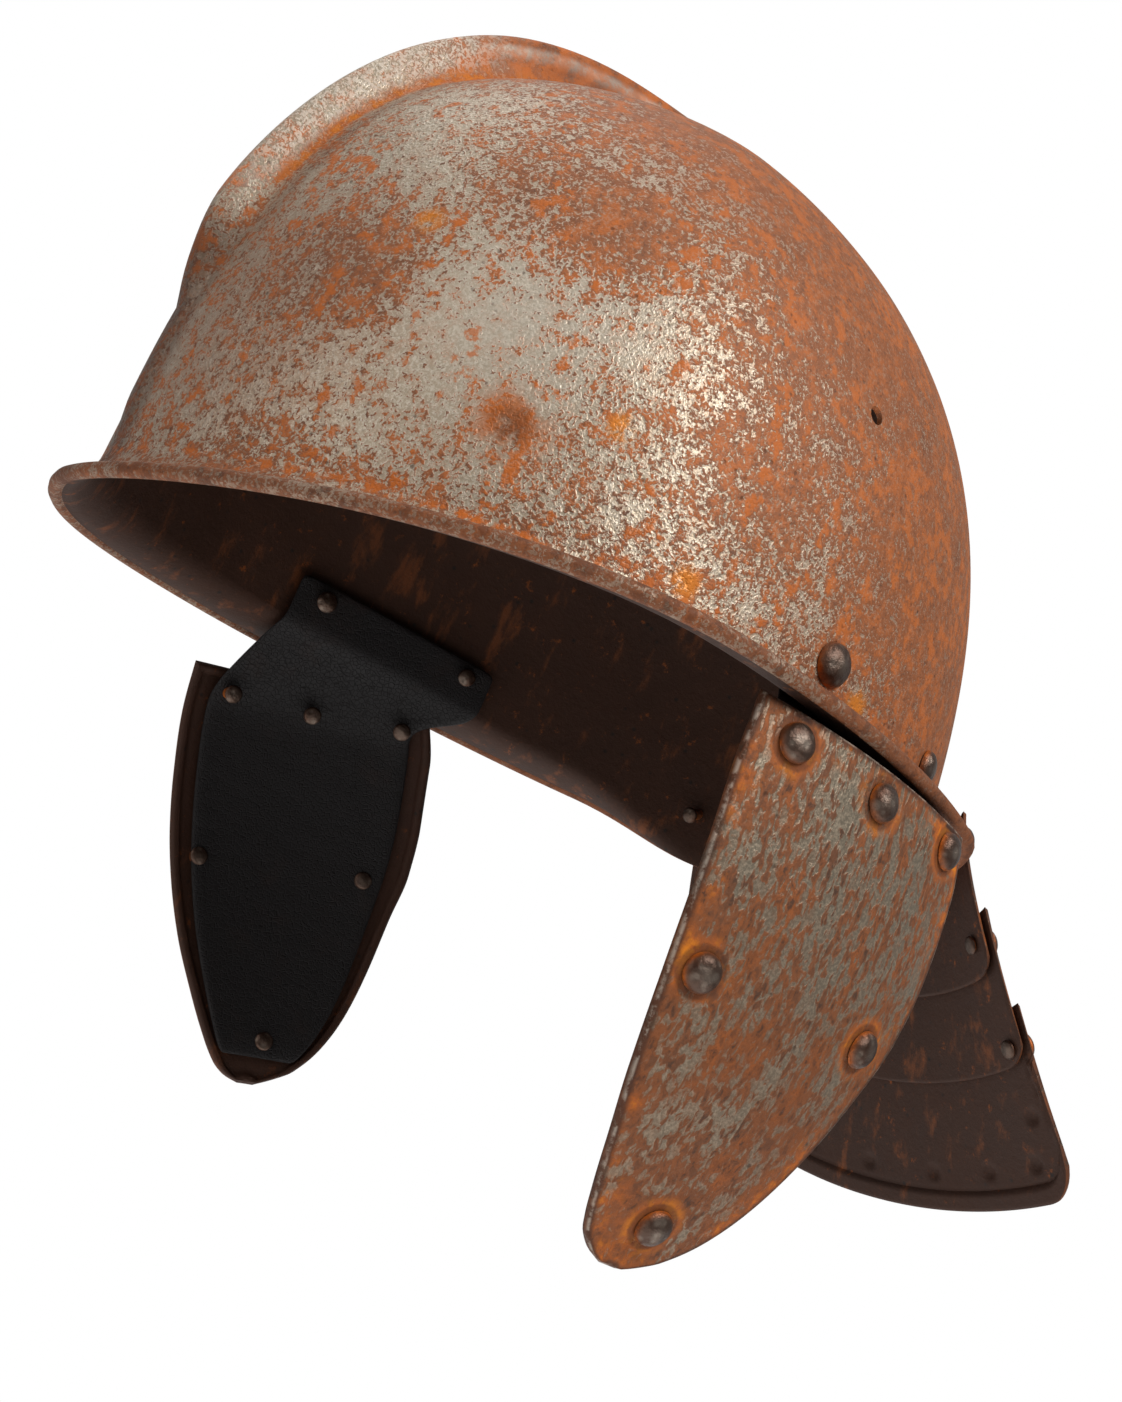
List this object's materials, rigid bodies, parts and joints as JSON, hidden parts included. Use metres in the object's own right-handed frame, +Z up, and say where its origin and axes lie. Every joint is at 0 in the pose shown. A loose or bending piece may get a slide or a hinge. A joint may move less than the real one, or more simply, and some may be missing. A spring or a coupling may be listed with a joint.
{
  "type": "lobster-tail pot helmet",
  "caption": "Rusted steel pot helmet with a hollow comb and flared brim, riveted cheek plates on leather, and a hinged tail of overlapping lames behind the neck.",
  "frame": {"origin": "inside of the crown, on the middle plane, where a head carries the helmet", "axes": "+Z up with the brim level, -Y is the front (brow), +Y the tail, +X the wearer's left"},
  "size_m": [0.2454, 0.2914, 0.2903],
  "materials": {
    "rusted_steel": "pitted bare steel with brown and orange rust",
    "dark_steel": "dark brown rusted steel",
    "rivet_iron": "dark worn iron",
    "black_leather": "black, dull"
  },
  "bodies": {
    "helmet": {"bowl": "rusted_steel", "cheek_plate_left": "rusted_steel", "cheek_plate_right": "rusted_steel", "cheek_leather_left": "black_leather", "cheek_leather_right": "black_leather", "bowl_rivet_left_1": "rivet_iron", "bowl_rivet_left_2": "rivet_iron", "bowl_rivet_right_1": "rivet_iron", "bowl_rivet_right_2": "rivet_iron", "bowl_rivet_stub": "rivet_iron", "cheek_rivet_left_1": "rivet_iron", "cheek_rivet_left_2": "rivet_iron", "cheek_rivet_left_3": "rivet_iron", "cheek_rivet_left_4": "rivet_iron", "cheek_rivet_left_5": "rivet_iron", "cheek_rivet_left_6": "rivet_iron", "cheek_rivet_right_1": "rivet_iron", "cheek_rivet_right_2": "rivet_iron", "cheek_rivet_right_3": "rivet_iron", "cheek_rivet_right_4": "rivet_iron", "cheek_rivet_right_5": "rivet_iron", "cheek_rivet_right_6": "rivet_iron", "tail_pivot_upper_left": "rivet_iron", "tail_pivot_upper_right": "rivet_iron"},
    "tail_upper": {"tail_lame_upper": "dark_steel", "tail_pivot_middle_left": "rivet_iron", "tail_pivot_middle_right": "rivet_iron"},
    "tail_middle": {"tail_lame_middle": "dark_steel", "tail_pivot_lower_left": "rivet_iron", "tail_pivot_lower_right": "rivet_iron"},
    "tail_lower": {"tail_lame_lower": "dark_steel"}
  },
  "joints": [
    {"name": "upper_lame_hinge", "type": "hinge", "parent": "helmet", "child": "tail_upper", "pos_m": [0, 0.13353, -0.13872], "axis": [1, 0, 0], "range_deg": [0, 5]},
    {"name": "middle_lame_hinge", "type": "hinge", "parent": "tail_upper", "child": "tail_middle", "pos_m": [0, 0.14651, -0.16189], "axis": [1, 0, 0], "range_deg": [0, 5]},
    {"name": "lower_lame_hinge", "type": "hinge", "parent": "tail_middle", "child": "tail_lower", "pos_m": [0, 0.16082, -0.18387], "axis": [1, 0, 0], "range_deg": [0, 5]}
  ]
}
